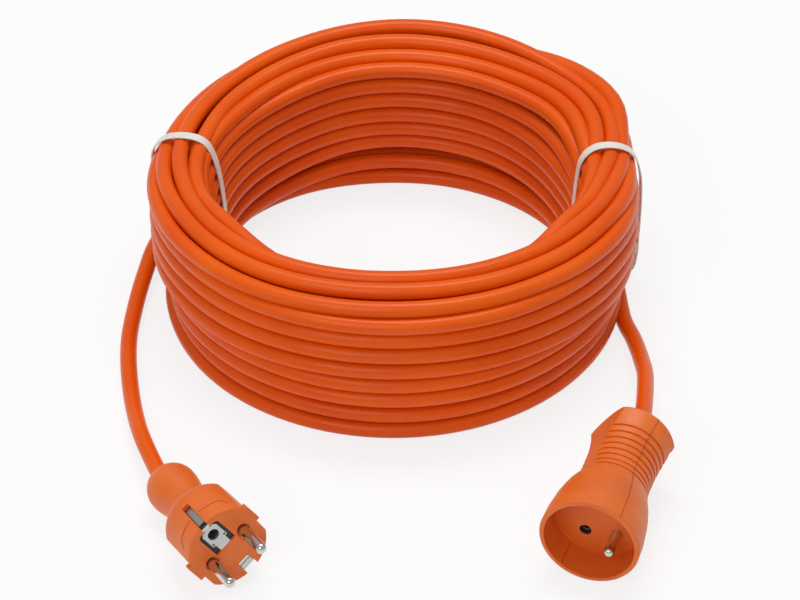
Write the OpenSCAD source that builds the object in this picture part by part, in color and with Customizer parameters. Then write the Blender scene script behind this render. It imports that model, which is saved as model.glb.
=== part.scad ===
// Outdoor extension lead: 20 m of three-core cord wound into a tied ring coil,
// with a moulded plug with a ball grip and a two-half socket lying in front.
// The origin is the middle of the coil on the floor, +Z is up, and both
// connectors lie on the -Y side.

/* [Cord] */
// Outside diameter of the cord's sheath
cord_d = 7.5; // [6.8:0.1:7.8]
// Diameter of one insulated core inside the sheath
core_d = 2.7; // [2.2:0.1:2.9]

/* [Coil] */
// Whole turns in the outer layer of the coil
outer_turns = 19; // [14:1:19]
// Radius to the cord's centre at the foot of the outer wall
foot_out_r = 104; // [100:1:106]
// Radius to the cord's centre at the top of the outer wall
top_out_r = 107; // [105:1:110]
// Radius to the cord's centre at the top of the inner wall
top_in_r = 82.5; // [78:0.5:84]
// Radius to the cord's centre at the foot of the inner wall
foot_in_r = 86.5; // [80:0.5:87]
// Height of the coil from the floor to its highest turn
coil_h = 77.5; // [74:0.5:80]
// Rounding of the bundle's corners, to the cord's centre
bundle_round = 7.5; // [7:0.1:8]
// Direction in which the socket's lead leaves the coil, in degrees
socket_exit = 6; // [4:1:10]
// Direction in which the plug's lead leaves the coil, in degrees
plug_exit = 142; // [140:1:143]

/* [Cable ties] */
// Width of the strap
tie_w = 2.5; // [2:0.1:3.6]
// Thickness of the strap
tie_t = 1.1; // [0.8:0.1:1.3]
// Direction of the tie on the plug's side, in degrees
left_tie_angle = 167; // [160:1:175]
// Direction of the tie on the socket's side, in degrees
right_tie_angle = 9; // [4:1:16]
// Length of the tie's head along the strap
tie_head_l = 5; // [4:0.5:6]
// Width of the tie's head
tie_head_w = 4.6; // [4:0.2:6]
// Height of the tie's head above the bundle
tie_head_h = 3.6; // [3:0.2:4.5]

/* [Plug] */
// Radius of the plug's face
plug_r = 18.1; // [17.8:0.1:18.4]
// Half of the width across the flat sides
plug_flat = 15.7; // [15.4:0.1:16.2]
// Length of the full-width part behind the face
plug_front_l = 21.5; // [20:0.5:24]
// Length of the shoulder down to the neck
plug_shoulder_l = 15.5; // [13:0.5:17]
// Radius of the neck in front of the ball
plug_neck_r = 9.4; // [8:0.2:10]
// Radius of the ball grip
ball_r = 11.3; // [10.9:0.1:11.8]
// Distance from the face to the middle of the ball
ball_back = 54.3; // [53:0.1:56]
// Diameter of the contact pins
pin_d = 4.8; // [4.7:0.05:4.9]
// Distance between the two contact pins
pin_pitch = 19; // [18.6:0.1:19.4]
// Length of the pins in front of the face
pin_l = 19; // [18.5:0.5:19.5]
// Distance from the line of the pins to the earth contact
earth_off = 10; // [9.5:0.1:10.2]
// Half of the width of the guide lug on each side, measured from its middle
lug_half = 4.5; // [4:0.1:4.7]
// Depth of the guide lug behind the face
lug_depth = 3; // [2:0.5:5]

/* [Socket] */
// Length of the socket from its rim to the cord entry
socket_l = 80; // [78:0.5:84]
// Outer radius at the rim
rim_r = 21.9; // [21.5:0.1:22.5]
// Radius of the recess that takes the plug
recess_r = 19.75; // [19.6:0.05:19.9]
// Depth of the recess
recess_depth = 15; // [15:0.5:17]
// Radius of the grip's waist
waist_r = 15.2; // [14.9:0.1:15.8]
// Radius of the finger stop behind the grip
stop_r = 18.6; // [17.8:0.1:19.2]
// Radius of the end around the cord
tail_r = 5.8; // [5.4:0.1:6.6]
// Half of the width across the two flat sides of the grip
grip_half = 14.1; // [13.9:0.1:14.7]
// Number of grip grooves on each ribbed face
grip_ribs = 8; // [4:1:8]
// Distance between the grip grooves
rib_pitch = 3.6; // [3:0.1:3.8]
// Length of the earth pin above the recess's floor
earth_pin_l = 14; // [13:0.5:14.5]
// Thickness of the recess's floor
floor_t = 3.5; // [3:0.1:4.5]

/* [Hidden] */

orange_cord = "#E8590F";
orange_body = "#E56D2C";
nickel = "#C9C7C0";
nylon = "#EDEBE4";
black_plastic = "#1B1C1E";
grey_plastic = "#D7D5CE";
steel = "#9AA0A4";
copper_brown = "#6B3A22";
core_blue = "#2E66B0";
core_green = "#5FA53A";

$fn = 64;
eps = 0.01;

// clearances
fit = 0.15;          // between a metal or plastic piece and its seat
through = 30;        // length of a tool that cuts right through
no_floor = -1000;
soft_gap = 0.45;     // between the outer turns and what lies inside or round them
cord_r = cord_d / 2;
core_r = core_d / 2;

// ---------- swept tubes ----------
// A tube is a list of rings, each square to the path. up is the world's +Z,
// so the path must never run straight up.
function unit(v) = v / norm(v);
function tangent(path, i) = unit(path[min(i + 1, len(path) - 1)] - path[max(i - 1, 0)]);
function ring_at(c, t, r, sides, turn) =
    let (side = unit(cross(t, [0, 0, 1])), top = cross(side, t))
    [for (k = [0 : sides - 1])
        let (a = turn + 360 * k / sides)
        c + r * (cos(a) * side + sin(a) * top)];
function ring_points(path, tangents, r, sides, turn, floor_z) =
    [for (i = [0 : len(path) - 1])
        for (p = ring_at(path[i], tangents[i], r, sides, turn))
            [p.x, p.y, max(p.z, floor_z)]];
function wall_faces(rings, sides) =
    [for (i = [0 : rings - 2], k = [0 : sides - 1])
        let (a = i * sides + k,
             b = i * sides + (k + 1) % sides,
             c = a + sides,
             d = b + sides)
        each [[a, b, d], [a, d, c]]];
function cap_faces(rings, sides) =
    [for (k = [1 : sides - 2])
        let (last = (rings - 1) * sides)
        each [[0, k + 1, k], [last, last + k, last + k + 1]]];
module tube(path, tangents, r, sides, turn = 0, floor_z = no_floor) {
    polyhedron(
        points = ring_points(path, tangents, r, sides, turn, floor_z),
        faces = concat(wall_faces(len(path), sides), cap_faces(len(path), sides)));
}
// smooth curve through a route's points, steps pieces for each stretch
function route_point(p, i, u) =
    let (n = len(p) - 1,
         a = p[max(i - 1, 0)], b = p[i], c = p[i + 1], d = p[min(i + 2, n)])
    0.5 * (2 * b + (c - a) * u + (2 * a - 5 * b + 4 * c - d) * pow(u, 2)
        + (3 * b - a - 3 * c + d) * pow(u, 3));
function smooth_route(p, steps) =
    [for (i = [0 : len(p) - 2], k = [0 : steps - 1]) route_point(p, i, k / steps),
     p[len(p) - 1]];
function end_tangents(path, first, last) =
    [for (i = [0 : len(path) - 1])
        i == 0 ? unit(first) : i == len(path) - 1 ? unit(last) : tangent(path, i)];

// ---------- the bundle's cross-section ----------
// Seen in a half plane through the coil's axis, as [radius, height]. The
// corners run from the foot of the outer wall inward, up, outward and down.
foot_cut = cord_d / 10;
foot_z = cord_r - foot_cut;
top_z = coil_h - cord_r * cos(30);
bundle = [[foot_out_r, foot_z], [foot_in_r, foot_z],
          [top_in_r, top_z], [top_out_r, top_z]];
corner_steps = 8;
// a narrow bundle has tighter corners
corner_round = min(bundle_round, 0.45 * min(top_out_r - top_in_r, foot_out_r - foot_in_r));
function corner_half(i) =
    let (a = unit(bundle[(i + 3) % 4] - bundle[i]), b = unit(bundle[(i + 1) % 4] - bundle[i]))
    acos(a * b) / 2;
function corner_centre(i) =
    let (a = unit(bundle[(i + 3) % 4] - bundle[i]), b = unit(bundle[(i + 1) % 4] - bundle[i]))
    bundle[i] + unit(a + b) * corner_round / sin(corner_half(i));
// directions from a corner's centre to its arc, in the order of travel
function corner_dirs(i) =
    let (a = unit(bundle[(i + 3) % 4] - bundle[i]), b = unit(bundle[(i + 1) % 4] - bundle[i]),
         t = corner_round / tan(corner_half(i)),
         c = corner_centre(i),
         from = unit(bundle[i] + a * t - c), to = unit(bundle[i] + b * t - c),
         sweep = acos(from * to))
    [for (k = [0 : corner_steps])
        let (u = k / corner_steps)
        (from * sin((1 - u) * sweep) + to * sin(u * sweep)) / sin(sweep)];
// the section's outline, grown by off
function outline(off) =
    [for (i = [0 : 3], d = corner_dirs(i)) corner_centre(i) + d * (corner_round + off)];

// ---------- the winding ----------
// The path starts low on the outer wall, and steps one pitch each turn along
// the outline: in under the coil, up inside, out over the top and down outside.
path_line = let (o = outline(0)) concat([for (i = [0 : len(o) - 1]) o[i]], [o[0], o[1]]);
function run_lengths(p, i = 0, total = 0) =
    i == len(p) - 1 ? [total]
        : concat([total], run_lengths(p, i + 1, total + norm(p[i + 1] - p[i])));
path_runs = run_lengths(path_line);
around = path_runs[len(path_runs) - 2];
r_table = [for (i = [0 : len(path_line) - 1]) [path_runs[i], path_line[i].x]];
z_table = [for (i = [0 : len(path_line) - 1]) [path_runs[i], path_line[i].y]];
pitch = around / (outer_turns + 1);
rings_per_turn = 24;
ring_sides = 6;
// the path starts just under the middle of the outer foot's rounding
start_run = path_runs[6];
exit_turns = (plug_exit - socket_exit) / 360;
ring_count = round((outer_turns + exit_turns) * rings_per_turn);
// the ties' straps pass under the coil and lift it there
lift = tie_t + soft_gap + foot_cut + fit;
lift_flat = 9;
lift_fade = 24;
function turn_from(a, b) = abs((((a - b) % 360) + 540) % 360 - 180);
function lift_share(angle) =
    let (d = min(turn_from(angle, left_tie_angle), turn_from(angle, right_tie_angle)))
    d <= lift_flat ? 1 : d >= lift_flat + lift_fade ? 0
        : (1 + cos(180 * (d - lift_flat) / lift_fade)) / 2;
function lifted(z, share) = z + lift * share * (top_z - z) / (top_z - foot_z);
function wind(i) =
    let (turns = i * (outer_turns + exit_turns) / ring_count,
         run = (start_run + turns * pitch) % around,
         angle = socket_exit + 360 * turns,
         r = lookup(run, r_table))
    [r * cos(angle), r * sin(angle), lifted(lookup(run, z_table), lift_share(angle))];
function along(angle) = [-sin(angle), cos(angle), 0];
wound = [for (i = [0 : ring_count]) wind(i)];
// both ends run straight for one cord diameter
coil_start = wound[0] - cord_d * along(socket_exit);
coil_end = wound[ring_count] + cord_d * along(plug_exit);
winding_path = concat([coil_start], wound, [coil_end]);
winding_tangents = end_tangents(winding_path, along(socket_exit), along(plug_exit));
// least distance between turns, measured on the rings' centres
half_turn = rings_per_turn / 2;
least_gap = min([for (i = [0 : ring_count - half_turn])
    min([for (j = [i + half_turn : min(i + rings_per_turn + half_turn, ring_count)])
        norm(wound[i] - wound[j])])]) - cord_d;
closing_gap = min([for (i = [0 : rings_per_turn], j = [ring_count - rings_per_turn : ring_count])
    norm(wound[i] - wound[j])]) - cord_d;
echo(least_gap_of_the_winding = least_gap, gap_of_first_and_last_turn = closing_gap);

module coil_winding() color(orange_cord)
    tube(winding_path, winding_tangents, cord_r, ring_sides, 0, 0);

// hidden turns, as one plain ring
core_inset = cord_r + soft_gap;
module coil_core() color(orange_cord)
    rotate_extrude($fn = 96)
        polygon([for (p = outline(-core_inset)) [p.x, max(p.y, foot_z + core_inset + lift)]]);

// ---------- cable ties ----------
// One moulded piece each: a strap round the bundle and the head that locks it.
tie_in = cord_r + soft_gap;
head_z = 14;
// radius to the cord's centre on the outer wall, beside the head's middle
head_share = (head_z + tie_head_l / 2 - foot_z) / (top_z - foot_z);
head_wall_r = foot_out_r + (top_out_r - foot_out_r) * head_share;
module tie_shape() {
    difference() {
        polygon([for (p = outline(tie_in + tie_t)) [p.x, lifted(p.y, 1)]]);
        polygon([for (p = outline(tie_in)) [p.x, lifted(p.y, 1)]]);
    }
}
module tie(angle) color(nylon)
    rotate([0, 0, angle]) rotate([90, 0, 0]) {
        translate([0, 0, -tie_w / 2]) linear_extrude(tie_w) tie_shape();
        translate([head_wall_r + tie_in + tie_t / 4, head_z, -tie_head_w / 2])
            cube([tie_head_h, tie_head_l, tie_head_w]);
    }
module left_cable_tie() tie(left_tie_angle);
module right_cable_tie() tie(right_tie_angle);

// ---------- where the connectors lie ----------
// Each connector is drawn along its own axis: +Z out of its face, +X along the
// line of its two contacts, +Y towards its earth contact.
plug_at = [-68.9, -196.1];
plug_yaw = 28.4;
plug_roll = 35;
plug_tilt = 9.7;
// the back edge of the full-width part rests on the floor
plug_z = plug_r * cos(plug_tilt) + plug_front_l * sin(plug_tilt);
socket_at = [81.6, -192.9];
socket_yaw = -18;
socket_roll = -126.6;
socket_tilt = -1;
socket_z = rim_r * cos(socket_tilt);
module at_plug() translate([plug_at.x, plug_at.y, plug_z])
    rotate([90 - plug_tilt, 0, plug_yaw]) rotate([0, 0, plug_roll]) children();
module at_socket() translate([socket_at.x, socket_at.y, socket_z])
    rotate([90 - socket_tilt, 0, socket_yaw]) rotate([0, 0, socket_roll]) children();
function axis_of(yaw, tilt) = [sin(yaw) * cos(tilt), -cos(yaw) * cos(tilt), sin(tilt)];
function placed(p, at, z, yaw, tilt, roll) =
    let (a = axis_of(yaw, tilt), h = [cos(yaw), sin(yaw), 0], u = cross(a, h))
    [at.x, at.y, z] + a * p.z
        + h * (p.x * cos(roll) - p.y * sin(roll))
        + u * (p.x * sin(roll) + p.y * cos(roll));
function on_plug(p) = placed(p, plug_at, plug_z, plug_yaw, plug_tilt, plug_roll);
function on_socket(p) = placed(p, socket_at, socket_z, socket_yaw, socket_tilt, socket_roll);

// ---------- free leads ----------
// Hand-chosen points between the coil and each connector, on the floor where
// the height is half the cord's diameter.
plug_tail = -(ball_back + 10.4);
plug_route = [[-105.5, 38, 9.5], [-111.5, 24, 9], [-115, 8, 7], [-118, -10, 4.6],
    [-120, -34, 3.75], [-119.3, -54, 3.75], [-117, -74, 4], [-114, -92, 5.4], [-109.5, -112, 8.6]];
socket_route = [[103, -21, 4.2], [107, -37, 5], [109.6, -56, 8.5], [110.4, -76, 14]];
lead_sides = 12;
module lead(start, start_dir, route, finish, finish_dir) {
    // a straight stub at both ends, then the chosen points
    path = smooth_route(concat(
        [start, start + start_dir * cord_d],
        route,
        [finish - finish_dir * cord_d, finish]), 2);
    tube(path, end_tangents(path, start_dir, finish_dir), cord_r, lead_sides, 15, 0);
}
module plug_lead() color(orange_cord)
    lead(coil_end, along(plug_exit), plug_route,
        on_plug([0, 0, plug_tail]), axis_of(plug_yaw, plug_tilt));
module socket_lead() color(orange_cord)
    lead(coil_start, -along(socket_exit), socket_route,
        on_socket([0, 0, -socket_l]), axis_of(socket_yaw, socket_tilt));

// ---------- plug ----------
neck_z = -(plug_front_l + plug_shoulder_l);
shoulder_steps = 10;
edge_round = 0.8;
pin_x = pin_pitch / 2;
pin_r = pin_d / 2;
shank_r = pin_r - 0.3; // the part of a pin that its housing holds
pin_recess_r = pin_r + 1.3;
pin_recess_depth = 1;
pocket_half = 5.4;     // black insert in the face
pocket_low = 1.2;
pocket_high = 14.2;
pocket_corner = 1.6;
insert_back = -17;
insert_face = -0.9;
bridge_half = 13;      // crossbar of the insert, which holds both pins
bridge_front = -8;
bridge_y = 4;
lug_x = plug_flat + 2.1; // outside of the guide lugs
lug_y = 2.7;           // middle of the guide lugs
plate_t = 0.8;         // earth plate and clips
plate_half = 4.1;
stem_half = 2.85;
plate_low = 5.2;
plate_high = 14.1;
clip_y = 16;           // outer face of the side clips
clip_back = -16;
upper_half = 1.45;     // half widths of the two clips, seen from the side
lower_half = 2.8;
channel_back = -17.1;  // back end of the open channel of each clip
channel_y = clip_y - 1.9;
mouth_y = 10.65;       // the lower clip's mouth in the face
mouth_depth = 2.6;
cross_z = -19.4;       // hidden bar that joins the two side clips
chamber_front = -21.5; // where the cores fan out to the pins
chamber_back = -36;
sleeve_r = 3.1;
sleeve_bore_r = 2.5;
sheath_in = -34;       // front end of the sheath inside the plug
tail_bore_r = cord_r + 0.3;

module plug_outline() {
    // face, full width, shoulder, neck and the swelling of the ball grip
    rotate_extrude()
        polygon(concat(
            [[0, 0], [plug_r - edge_round, 0]],
            [for (a = [30 : 30 : 90])
                [plug_r - edge_round + edge_round * sin(a), -edge_round + edge_round * cos(a)]],
            [for (i = [0 : shoulder_steps])
                let (u = i / shoulder_steps)
                [plug_neck_r + (plug_r - plug_neck_r) * (1 + cos(180 * u)) / 2,
                 -plug_front_l - u * plug_shoulder_l]],
            [for (i = [1 : shoulder_steps])
                let (u = i / shoulder_steps)
                [plug_neck_r + (ball_r - plug_neck_r) * (1 - cos(180 * u)) / 2,
                 neck_z - u * (ball_back + neck_z)]],
            [[0, -ball_back]]));
}
module plug_outer() {
    intersection() {
        plug_outline();
        translate([-plug_flat, -plug_r, -2 * ball_back])
            cube([2 * plug_flat, 2 * plug_r, 3 * ball_back]);
    }
    // guide lugs on the earth side of the pins, at both flats
    translate([-lug_x, lug_y - lug_half, -lug_depth])
        cube([2 * lug_x, 2 * lug_half, lug_depth]);
    intersection() {
        translate([0, 0, -ball_back]) sphere(ball_r, $fn = 96);
        translate([-2 * ball_r, -2 * ball_r, plug_tail])
            cube([4 * ball_r, 4 * ball_r, 2 * ball_r]);
    }
}
module rounded_pocket(half, low, high, corner, front, back, grow) {
    // a block with its two far corners rounded
    translate([0, 0, back - grow])
        linear_extrude(front - back + grow)
            union() {
                translate([-half - grow, low - grow])
                    square([2 * (half + grow), high - low - corner + grow]);
                translate([-half + corner, low])
                    square([2 * (half - corner), high - low + grow]);
                for (s = [-1, 1])
                    translate([s * (half - corner), high - corner])
                        circle(corner + grow, $fn = 32);
            }
}
module clip_space(half) {
    translate([-half - 2 * fit, channel_y, channel_back])
        cube([2 * (half + 2 * fit), plug_r + 1 - channel_y, 1 - channel_back]);
    translate([-half - fit, clip_y - 1.5 * plate_t - fit, cross_z - plate_t - fit])
        cube([2 * (half + fit), 1.5 * plate_t + 2 * fit, channel_back - cross_z + plate_t + fit + eps]);
}
module plug_body() color(orange_body) at_plug()
    difference() {
        plug_outer();
        rounded_pocket(pocket_half, pocket_low, pocket_high, pocket_corner, 1, insert_back, fit);
        // bridge of the insert, across both pins
        translate([-bridge_half - fit, -bridge_y - fit, insert_back - fit])
            cube([2 * (bridge_half + fit), 2 * (bridge_y + fit), bridge_front - insert_back + 2 * fit]);
        for (s = [-1, 1]) {
            translate([s * pin_x, 0, chamber_front - 1]) cylinder(h = through, r = shank_r + fit);
            translate([s * pin_x, 0, -pin_recess_depth])
                cylinder(h = pin_recess_depth + 1, r = pin_recess_r);
        }
        // seat of the earth sleeve behind the insert
        translate([0, earth_off, cross_z - fit])
            cylinder(h = insert_back - cross_z + fit, r = sleeve_r + fit);
        // open channels for the two earth clips, and their hidden back ends
        clip_space(upper_half);
        rotate([0, 0, 180]) clip_space(lower_half);
        // the lower clip's mouth opens towards the middle
        translate([-lower_half - fit, -clip_y, -mouth_depth])
            cube([2 * (lower_half + fit), clip_y - mouth_y, mouth_depth + 1]);
        // slot for the hidden bar
        translate([-upper_half - fit, -clip_y, cross_z - plate_t - fit])
            cube([2 * (upper_half + fit), 2 * clip_y, plate_t + 2 * fit]);
        translate([0, 0, cross_z - plate_t - fit - 2.6])
            cylinder(h = 3, r = 6);
        // wiring chamber, tapering to the sheath
        translate([0, 0, chamber_back])
            cylinder(h = chamber_front - chamber_back, r1 = tail_bore_r, r2 = bridge_half);
        translate([0, 0, plug_tail - 1])
            cylinder(h = chamber_back - plug_tail + 1 + eps, r = tail_bore_r);
    }
module plug_insert() color(black_plastic) at_plug()
    difference() {
        union() {
            rounded_pocket(pocket_half, pocket_low, pocket_high, pocket_corner, insert_face, insert_back, 0);
            translate([-bridge_half, -bridge_y, insert_back])
                cube([2 * bridge_half, 2 * bridge_y, bridge_front - insert_back]);
        }
        for (s = [-1, 1])
            translate([s * pin_x, 0, insert_back - 1]) cylinder(h = through, r = shank_r + 0.05);
        translate([0, earth_off, insert_back - 1]) cylinder(h = through, r = sleeve_r + 0.05);
    }
crimp_r = 1.95;
crimp_bore_r = core_r + 0.1;
crimp_l = 6;
module plug_pin(s) color(nickel) at_plug()
    translate([s * pin_x, 0, 0]) difference() {
        union() {
            cylinder(h = pin_l - pin_r, r = pin_r);
            translate([0, 0, insert_back - 0.5]) cylinder(h = 1 - insert_back, r = shank_r);
            translate([0, 0, pin_l - pin_r]) intersection() {
                sphere(pin_r);
                translate([-pin_r, -pin_r, 0]) cube([2 * pin_r, 2 * pin_r, pin_r]);
            }
            translate([0, 0, insert_back - crimp_l]) cylinder(h = crimp_l, r = crimp_r);
        }
        translate([0, 0, insert_back - crimp_l - 1]) cylinder(h = crimp_l - 0.5, r = crimp_bore_r);
    }
module plug_live_pin() plug_pin(1);
module plug_neutral_pin() plug_pin(-1);
// strip metal bent along a line of points [y, z], seen from the side
function square_to(a, b) = let (way = unit(b - a)) [-way.y, way.x];
function strip_edge(line, off) =
    let (last = len(line) - 1)
    [for (i = [0 : last])
        let (before = square_to(line[max(i - 1, 0)], line[max(i, 1)]),
             after = square_to(line[min(i, last - 1)], line[min(i + 1, last)]))
        line[i] + off * (before + after) / (1 + before * after)];
module bent_strip(line, half) {
    far_edge = strip_edge(line, -plate_t / 2);
    translate([-half, 0, 0]) rotate([90, 0, 90])
        linear_extrude(2 * half)
            polygon(concat(strip_edge(line, plate_t / 2),
                [for (i = [len(line) - 1 : -1 : 0]) far_edge[i]]));
}
// the earth plate, its two side clips and the bar behind that joins them
strip_y = clip_y - plate_t / 2;
bar_z = cross_z - plate_t / 2;
tail_y = strip_y - plate_t / 2;
upper_line = [[plate_high - 0.8, insert_face + plate_t / 2], [15.2, -0.5], [15, -2.6],
    [strip_y, -3.6], [strip_y, clip_back], [tail_y, bar_z], [-tail_y - 0.3, bar_z]];
lower_line = [[-11.3, 0], [-11.4, -1.6], [-12.5, -1.9], [-13.3, -0.7], [-14.8, -0.7],
    [-strip_y, -2.2], [-strip_y, clip_back], [-tail_y, bar_z]];
module plug_earth_strap() color(nickel) at_plug()
    difference() {
        union() {
            // plate in the face, with its narrower stem
            translate([0, 0, insert_face]) linear_extrude(plate_t)
                polygon([[-stem_half, pocket_low], [stem_half, pocket_low],
                    [stem_half, plate_low], [plate_half, plate_low],
                    [plate_half, plate_high - 1.2], [stem_half, plate_high],
                    [-stem_half, plate_high], [-plate_half, plate_high - 1.2],
                    [-plate_half, plate_low], [-stem_half, plate_low]]);
            bent_strip(upper_line, upper_half);
            bent_strip(lower_line, lower_half);
        }
        translate([0, earth_off, insert_face - 1]) cylinder(h = 3, r = sleeve_bore_r + 0.1);
        for (s = [-1, 1])
            translate([s * 3.3, plate_low + 1, insert_face - 1]) cylinder(h = 3, r = 0.5);
    }
module plug_earth_sleeve() color(nickel) at_plug()
    translate([0, earth_off, 0]) difference() {
        translate([0, 0, cross_z]) cylinder(h = insert_face - cross_z, r = sleeve_r);
        translate([0, 0, insert_back]) cylinder(h = through, r = sleeve_bore_r);
    }
module plug_sheath_end() color(orange_cord) at_plug()
    translate([0, 0, plug_tail]) cylinder(h = sheath_in - plug_tail, r = cord_r);
// a core runs from the sheath's end to its crimp
core_lay = core_d / sqrt(3) + 0.15;
module inner_core(path) {
    smooth = smooth_route(path, 3);
    tube(smooth, end_tangents(smooth, path[1] - path[0],
        path[len(path) - 1] - path[len(path) - 2]), core_r, 8, 22.5);
}
module plug_core(s) {
    a = core_lay;
    inner_core([for (p = [[s * a, -a / 2, sheath_in], [s * a * 1.1, -a / 2, sheath_in + 1.5],
            [s * 5.5, -0.6, -27.6], [s * (pin_x - 0.4), 0, -25],
            [s * pin_x, 0, -23.6], [s * pin_x, 0, insert_back - crimp_l + 3.6]]) on_plug(p)]);
}
module plug_live_core() color(copper_brown) plug_core(1);
module plug_neutral_core() color(core_blue) plug_core(-1);
module plug_earth_core() color(core_green)
    inner_core([for (p = [[0, core_lay, sheath_in], [0, core_lay * 1.1, sheath_in + 1.5],
        [0, 3, -27], [0, 4.2, -23.6], [0, 4.2, cross_z - plate_t - 0.1]]) on_plug(p)]);

// ---------- socket ----------
floor_z = -recess_depth;
carrier_front = floor_z - floor_t - fit;
carrier_back = -36;
carrier_r = 12.9;
cavity_r = 11.6;
cavity_back = -59;
stop_z = -67;
rim_round = 0.9;
contact_r = 2.9;
contact_bore_r = 2.35;
entry_r = 2.65;
screw_x = 8.2;
screw_z = -64.4;
screw_r = 1.5;
screw_head_r = 2.8;
screw_head_t = 2;
screw_seat_y = 8;      // where the head seats, from the plane of the joint
screw_reach = 6;       // how far the shank reaches into the upper half
screw_slot_w = 0.8;
screw_slot_depth = 0.85;
socket_sheath_in = -56;
rib_depth = 0.6;
rib_w = 1.3;
rib_first = -33;
flat_front = -32;      // where the flat sides of the grip begin
flat_slope = 5;

// radius along the body, from the rim to the cord
socket_profile = [[0, rim_r - rim_round], [-0.3, rim_r - 0.3], [-rim_round, rim_r],
    [-8, rim_r - 0.2], [-13, rim_r - 0.8], [-17, rim_r - 1.3], [-21, rim_r - 2.1],
    [-25, waist_r + 3.6], [-29, waist_r + 2.2], [-33, waist_r + 1], [-37, waist_r + 0.2],
    [-41, waist_r], [-50, waist_r + 0.1], [-55, waist_r + 0.6], [-60, waist_r + 1.4],
    [-64, stop_r - 1], [stop_z, stop_r], [stop_z - 1.6, stop_r - 0.9], [-70.5, 14.6],
    [-72.5, 9.6], [-75, tail_r + 1], [-socket_l + 0.8, tail_r], [-socket_l, tail_r - 0.6]];
module socket_outer() {
    difference() {
        rotate_extrude()
            polygon(concat([[0, 0]], [for (p = socket_profile) [p[1], p[0]]], [[0, -socket_l]]));
        // flat sides of the grip, which run out into the bell
        for (s = [0, 180]) rotate([90, 0, 90 + s])
            translate([0, 0, -2 * rim_r]) linear_extrude(4 * rim_r)
                polygon([[grip_half, flat_front], [grip_half, -socket_l], [2 * rim_r, -socket_l],
                    [2 * rim_r, flat_front + flat_slope], [grip_half + 4, flat_front + flat_slope]]);
        // grip grooves round the waist
        for (i = [0 : grip_ribs - 1])
            let (z = rib_first - i * rib_pitch)
                rotate_extrude()
                    translate([lookup(z, socket_profile) - rib_depth, z - rib_w / 2])
                        square([rib_depth + 2, rib_w]);
    }
}
module socket_hollow() {
    // recess and the two contact entries
    translate([0, 0, floor_z]) cylinder(h = recess_depth + 1, r = recess_r, $fn = 96);
    for (s = [-1, 1])
        translate([s * pin_x, 0, floor_z - floor_t - 1]) cylinder(h = floor_t + 2, r = entry_r);
    translate([0, earth_off, floor_z - floor_t - 1]) cylinder(h = floor_t + 2, r = shank_r + 0.05);
    // seat of the carrier, wiring chamber and cord entry
    translate([0, 0, carrier_back - fit])
        cylinder(h = carrier_front - carrier_back + 2 * fit, r = carrier_r + fit);
    translate([0, 0, cavity_back]) cylinder(h = carrier_back - cavity_back, r = cavity_r);
    translate([0, 0, -socket_l - 1]) cylinder(h = socket_l + cavity_back + 1 + eps, r = tail_bore_r);
    // screw holes: a countersunk seat in the lower half, a blind hole in the upper
    for (s = [-1, 1])
        translate([s * screw_x, 0, screw_z]) rotate([-90, 0, 0]) {
            translate([0, 0, -screw_reach - fit])
                cylinder(h = screw_reach + screw_seat_y + 2 * fit, r = screw_r + 0.05);
            translate([0, 0, screw_seat_y]) cylinder(h = rim_r, r = screw_head_r + fit);
        }
}
module socket_half(side) {
    intersection() {
        difference() {
            socket_outer();
            socket_hollow();
        }
        translate([-2 * rim_r, side > 0 ? 0 : -2 * rim_r, -socket_l - 1])
            cube([4 * rim_r, 2 * rim_r, socket_l + 2]);
    }
}
module socket_shell_upper() color(orange_body) at_socket() socket_half(-1);
module socket_shell_lower() color(orange_body) at_socket() socket_half(1);
module socket_carrier() color(grey_plastic) at_socket()
    difference() {
        translate([0, 0, carrier_back]) cylinder(h = carrier_front - carrier_back, r = carrier_r);
        for (s = [-1, 1])
            translate([s * pin_x, 0, carrier_back - 1]) cylinder(h = through, r = contact_r + 0.05);
        translate([0, earth_off, carrier_back - 1]) cylinder(h = through, r = shank_r + 0.05);
    }
contact_back = carrier_back;
module socket_contact(s) color(nickel) at_socket()
    translate([s * pin_x, 0, 0]) difference() {
        union() {
            translate([0, 0, contact_back]) cylinder(h = carrier_front - 0.4 - contact_back, r = contact_r);
            translate([0, 0, contact_back - crimp_l]) cylinder(h = crimp_l, r = crimp_r);
        }
        translate([0, 0, contact_back + 1]) cylinder(h = through, r = contact_bore_r);
        // the spring contact is slit so that it can open
        translate([-0.3, -contact_r - 1, contact_back + 5]) cube([0.6, 2 * contact_r + 2, through]);
        translate([0, 0, contact_back - crimp_l - 1]) cylinder(h = crimp_l - 0.5, r = crimp_bore_r);
    }
module socket_live_contact() socket_contact(1);
module socket_neutral_contact() socket_contact(-1);
module socket_earth_pin() color(nickel) at_socket()
    translate([0, earth_off, 0]) difference() {
        union() {
            translate([0, 0, floor_z]) cylinder(h = earth_pin_l - pin_r, r = pin_r);
            translate([0, 0, carrier_back - 1])
                cylinder(h = floor_z - carrier_back + 1.5, r = shank_r);
            translate([0, 0, floor_z + earth_pin_l - pin_r]) intersection() {
                sphere(pin_r);
                translate([-pin_r, -pin_r, 0]) cube([2 * pin_r, 2 * pin_r, pin_r]);
            }
            translate([0, -1.2, carrier_back - 1 - crimp_l]) cylinder(h = crimp_l, r = crimp_r);
        }
        translate([0, -1.2, carrier_back - crimp_l - 2]) cylinder(h = crimp_l - 0.5, r = crimp_bore_r);
    }
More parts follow.
